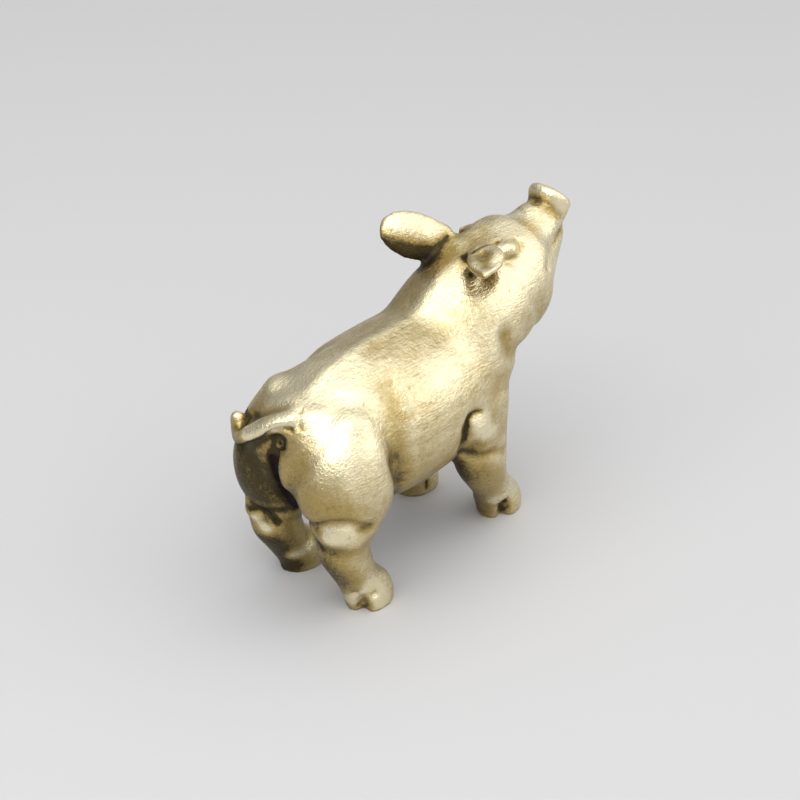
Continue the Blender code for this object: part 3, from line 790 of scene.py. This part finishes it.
def aged_brass_with_painted_light(settings):
    """Brass bright where rubbed and where highlights are painted, warm and dull beside that and where shade
    is painted, and nearly black in the creases and where shadow is painted.
    """
    material = bpy.data.materials.new("aged brass")
    recipe = Recipe(material)
    where = recipe.node("ShaderNodeTexCoord", {}, {}).outputs["Object"]
    marks = recipe.attribute("marks")
    hollows = recipe.attribute("hollows")
    broad = recipe.noise(where, BROAD_WAVES, 3.0, 0.55)
    patchy = recipe.noise(where, PATCH_WAVES, 8.0, 0.68)
    grains = recipe.noise(where, GRAIN_WAVES, 4.0, 0.65)
    strokes = hair_strokes(recipe, where)
    # Noise breaks up how far the metal is rubbed and painted bright. Between the two ends given for each, the
    # rubbed brass gives way to warm brass, that to patina and painted shade, and a mark to dark patina and
    # painted shadow.
    wear = recipe.attribute("wear") + (broad - 0.5) * 0.4 + (patchy - 0.5) * 0.55 - strokes * 0.10
    warm = 1 - (wear - marks * 0.5 + (grains - 0.5) * 0.4).between(0.32, 1.08)
    # The dull share is patina and painted shade.
    dull = 1 - (wear - marks * 0.8 + (grains - 0.5) * 0.7).between(-0.25, 0.40)
    specks = recipe.noise(where, SPECK_WAVES, 3.0, 0.6).between(0.62, 0.74)
    dull = dull + specks * 0.35 * (1 - dull)
    # Black is dark patina, and painted shadow from the darkest marks.
    black = (marks + (patchy - 0.5) * 0.6 + hollows * 0.12).between(0.62, 1.15)
    # The three colours are rubbed, warm and dulled brass, and also lit, half-shaded and shaded copies of it:
    # painted light and shade.
    colour = recipe.mix(warm, opaque(settings.brass), opaque(settings.warm_brass))
    colour = recipe.mix(dull, colour, opaque(settings.tarnish_and_shade))
    colour = recipe.mix(black, colour, opaque(settings.grime_and_shadow))
    uneven = (patchy - 0.5) * 0.12
    roughness = 0.22 + warm * 0.08 + dull * 0.12 + black * 0.2 + uneven + strokes * 0.05
    relief = recipe.noise(where, RELIEF_WAVES, 3.0, 0.55) * 0.6 + grains * 0.4
    cast = recipe.node(
        "ShaderNodeBump",
        {},
        {"Strength": 0.9, "Distance": CAST_RELIEF, "Height": relief},
    )
    brushed = recipe.node(
        "ShaderNodeBump",
        {"invert": True},
        {
            "Strength": 0.7,
            "Distance": BRUSHED_RELIEF,
            "Height": strokes,
            "Normal": cast.outputs["Normal"],
        },
    )
    shader = recipe.node(
        "ShaderNodeBsdfPrincipled",
        {},
        {
            "Base Color": colour,
            "Metallic": 1.0,
            "Roughness": roughness,
            "Normal": brushed.outputs["Normal"],
        },
    )
    recipe.node("ShaderNodeOutputMaterial", {}, {"Surface": shader.outputs["BSDF"]})
    return material


LAMPS = (
    # name, degrees to the camera's right, degrees up, distance, width and height in metres, watts
    ("window", 88, 28, 0.40, 0.30, 0.28, 0.22),
    ("ceiling", -30, 80, 0.40, 0.50, 0.50, 0.60),
    ("above the camera", -8, 52, 0.36, 0.20, 0.18, 0.26),
    ("behind the tail", -46, 38, 0.36, 0.20, 0.18, 0.22),
)
ROOM_SHADES = (
    # share of the way from the dim side of the room to the lit one, and the shade there
    (0.10, (0.24, 0.24, 0.25, 1.0)),
    (0.35, (0.40, 0.40, 0.41, 1.0)),
    (0.62, (0.62, 0.62, 0.61, 1.0)),
    (0.85, (1.00, 0.99, 0.97, 1.0)),
)
LIT_SIDE = math.radians(80)
LIT_HEIGHT = math.radians(45)


def add_lamp(stage, name, side, up, distance, width, height, watts):
    lamp = bpy.data.lights.new(name, "AREA")
    lamp.shape = "RECTANGLE"
    lamp.size = width
    lamp.size_y = height
    lamp.energy = watts
    holder = bpy.data.objects.new(name, lamp)
    holder.visible_camera = False
    out = toward(stage.camera_azimuth + math.radians(side), math.radians(up))
    holder.location = Vector(stage.aim) + out * distance
    holder.rotation_euler = out.to_track_quat("Z", "Y").to_euler()
    bpy.context.scene.collection.objects.link(holder)


FLOOR_REACH = 3.0


class SetStage(bpy.types.Operator):
    """Set the floor, the room, the lamps and the camera"""

    bl_idname = "tea_pet.set_stage"
    bl_label = "Stage"

    def execute(self, context):
        stage = context.scene.tea_pet_stage
        self.lay_floor(stage)
        self.light_room(context, stage)
        for lamp in LAMPS:
            add_lamp(stage, *lamp)
        self.place_camera(context, stage)
        context.scene.view_settings.view_transform = "Standard"
        return {"FINISHED"}

    def lay_floor(self, stage):
        work = bmesh.new()
        bmesh.ops.create_grid(work, x_segments=1, y_segments=1, size=FLOOR_REACH)
        mesh = bpy.data.meshes.new("studio_floor")
        work.to_mesh(mesh)
        work.free()
        floor = bpy.data.objects.new("studio_floor", mesh)
        bpy.context.scene.collection.objects.link(floor)
        material = bpy.data.materials.new("pale floor")
        recipe = Recipe(material)
        shader = recipe.node(
            "ShaderNodeBsdfPrincipled",
            {},
            {"Base Color": opaque(stage.floor), "Roughness": 0.8, "Specular IOR Level": 0.2},
        )
        recipe.node("ShaderNodeOutputMaterial", {}, {"Surface": shader.outputs["BSDF"]})
        mesh.materials.append(material)

    def light_room(self, context, stage):
        """A room that is bright above and at the window's side, and dim at the other."""
        world = bpy.data.worlds.new("room")
        context.scene.world = world
        recipe = Recipe(world)
        way = recipe.node("ShaderNodeTexCoord", {}, {}).outputs["Generated"]
        lit_way = toward(stage.camera_azimuth + LIT_SIDE, LIT_HEIGHT)
        vectors = {0: way, 1: tuple(lit_way)}
        facing = recipe.node("ShaderNodeVectorMath", {"operation": "DOT_PRODUCT"}, vectors)
        share = Value(recipe, facing.outputs["Value"]) * 0.5 + 0.5
        shades = recipe.node("ShaderNodeValToRGB", {"stops": ROOM_SHADES}, {"Fac": share})
        sockets = {"Color": shades.outputs["Color"], "Strength": stage.room}
        background = recipe.node("ShaderNodeBackground", {}, sockets)
        recipe.node("ShaderNodeOutputWorld", {}, {"Surface": background.outputs["Background"]})

    def place_camera(self, context, stage):
        eye = Eye(stage)
        camera = bpy.data.cameras.new("camera")
        camera.lens = stage.lens
        camera.sensor_width = Eye.SENSOR
        camera.clip_start = 1 * MM
        holder = bpy.data.objects.new("camera", camera)
        holder.matrix_world = Matrix.Translation(eye.place) @ eye.turn()
        context.scene.collection.objects.link(holder)
        context.scene.camera = holder


class TeaPetPanel(bpy.types.Panel):
    """The sizes, colours and steps of the tea pet, in the 3D view's sidebar"""

    bl_idname = "TEA_PET_PT_panel"
    bl_label = "Tea Pet"
    bl_space_type = "VIEW_3D"
    bl_region_type = "UI"
    bl_category = "Tea Pet"

    def draw(self, context):
        for settings, operator in (
            (context.scene.tea_pet_casting, MakeCasting),
            (context.scene.tea_pet_stage, SetStage),
        ):
            box = self.layout.box()
            for name in settings.__annotations__:
                box.prop(settings, name)
            box.operator(operator.bl_idname)


CLASSES = (CastingSettings, StageSettings, MakeCasting, SetStage, TeaPetPanel)


def register():
    for made in CLASSES:
        bpy.utils.register_class(made)
    bpy.types.Scene.tea_pet_casting = PointerProperty(type=CastingSettings)
    bpy.types.Scene.tea_pet_stage = PointerProperty(type=StageSettings)


def unregister():
    del bpy.types.Scene.tea_pet_casting
    del bpy.types.Scene.tea_pet_stage
    for made in reversed(CLASSES):
        bpy.utils.unregister_class(made)


def main():
    register()
    bpy.ops.tea_pet.make_casting()
    bpy.ops.tea_pet.set_stage()


if __name__ == "__main__":
    main()
